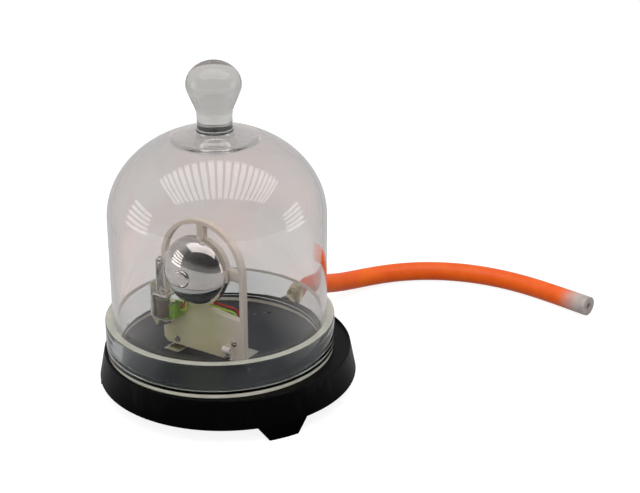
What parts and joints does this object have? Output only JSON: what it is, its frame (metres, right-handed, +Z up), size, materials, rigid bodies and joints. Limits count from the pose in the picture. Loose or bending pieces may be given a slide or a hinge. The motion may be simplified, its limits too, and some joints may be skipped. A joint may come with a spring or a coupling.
{
  "type": "bell jar with electric bell",
  "caption": "Clear bell jar with a knob on a round black base, over an electric bell on an upright plate, with a vacuum hose at the back; shows that sound needs air.",
  "frame": {"origin": "centre of the base on the table, under its feet", "axes": "+Z up, +X to the right of the front, +Y to the back, where the hose leaves"},
  "size_m": [0.4037, 0.2767, 0.2523],
  "materials": {
    "black_plastic": "moulded, satin gloss",
    "seal_rubber": "matte cream",
    "clear_glass": "clear, polished",
    "pale_brass": "plain",
    "black_rubber": "matte",
    "hose_rubber": "smooth, slight sheen",
    "grey_rubber": "matte",
    "red_plastic": "gloss",
    "zinc_steel": "zinc plated",
    "screw_steel": "bright",
    "ivory_plastic": "cut sheet, satin",
    "white_nylon": "satin",
    "gong_chrome": "mirror bright",
    "soft_iron": "dull",
    "green_plastic": "satin",
    "brown_tape": "wound tape",
    "green_lead": "gloss"
  },
  "bodies": {
    "base": {"base_moulding": "black_plastic", "hose_connector": "pale_brass", "connector_seal": "black_rubber", "hose_ferrule": "pale_brass", "vacuum_hose": "hose_rubber", "hose_end": "grey_rubber", "socket_red": "red_plastic", "socket_black": "black_plastic", "socket_nuts": "zinc_steel", "stand_plate": "ivory_plastic", "bracket_left": "zinc_steel", "bracket_right": "zinc_steel", "plate_screws": "screw_steel", "plate_nuts": "screw_steel", "bracket_screws": "screw_steel", "nylon_clip": "white_nylon", "gong": "gong_chrome", "gong_cap": "gong_chrome", "gong_post": "zinc_steel", "post_nut": "zinc_steel", "magnet_bracket": "zinc_steel", "magnet_screws": "screw_steel", "magnet_yoke": "soft_iron", "yoke_rivet": "screw_steel", "magnet_core": "soft_iron", "coil_bobbin": "green_plastic", "coil_winding": "brown_tape", "contact_screw": "pale_brass", "contact_nut": "pale_brass", "spring_blade": "zinc_steel", "lead_gland": "black_rubber", "lead_red": "red_plastic", "lead_green": "green_lead"},
    "jar": {"sealing_ring": "seal_rubber", "jar_collar": "clear_glass", "jar_dome": "clear_glass", "jar_knob": "clear_glass"},
    "clapper": {"armature": "zinc_steel", "clapper_arm": "zinc_steel", "arm_rivet": "screw_steel", "striker": "screw_steel"}
  },
  "joints": [
    {"name": "jar_lift", "type": "slide", "parent": "base", "child": "jar", "axis": [0, 0, 1], "range_m": [0, 0.16]},
    {"name": "clapper_swing", "type": "hinge", "parent": "base", "child": "clapper", "pos_m": [-0.05132, -0.00805, 0.0796], "axis": [0.6018, 0.7986, 0], "range_deg": [0, 4], "stiffness_Nm_per_rad": 0.02, "springref_deg": -2.86}
  ]
}
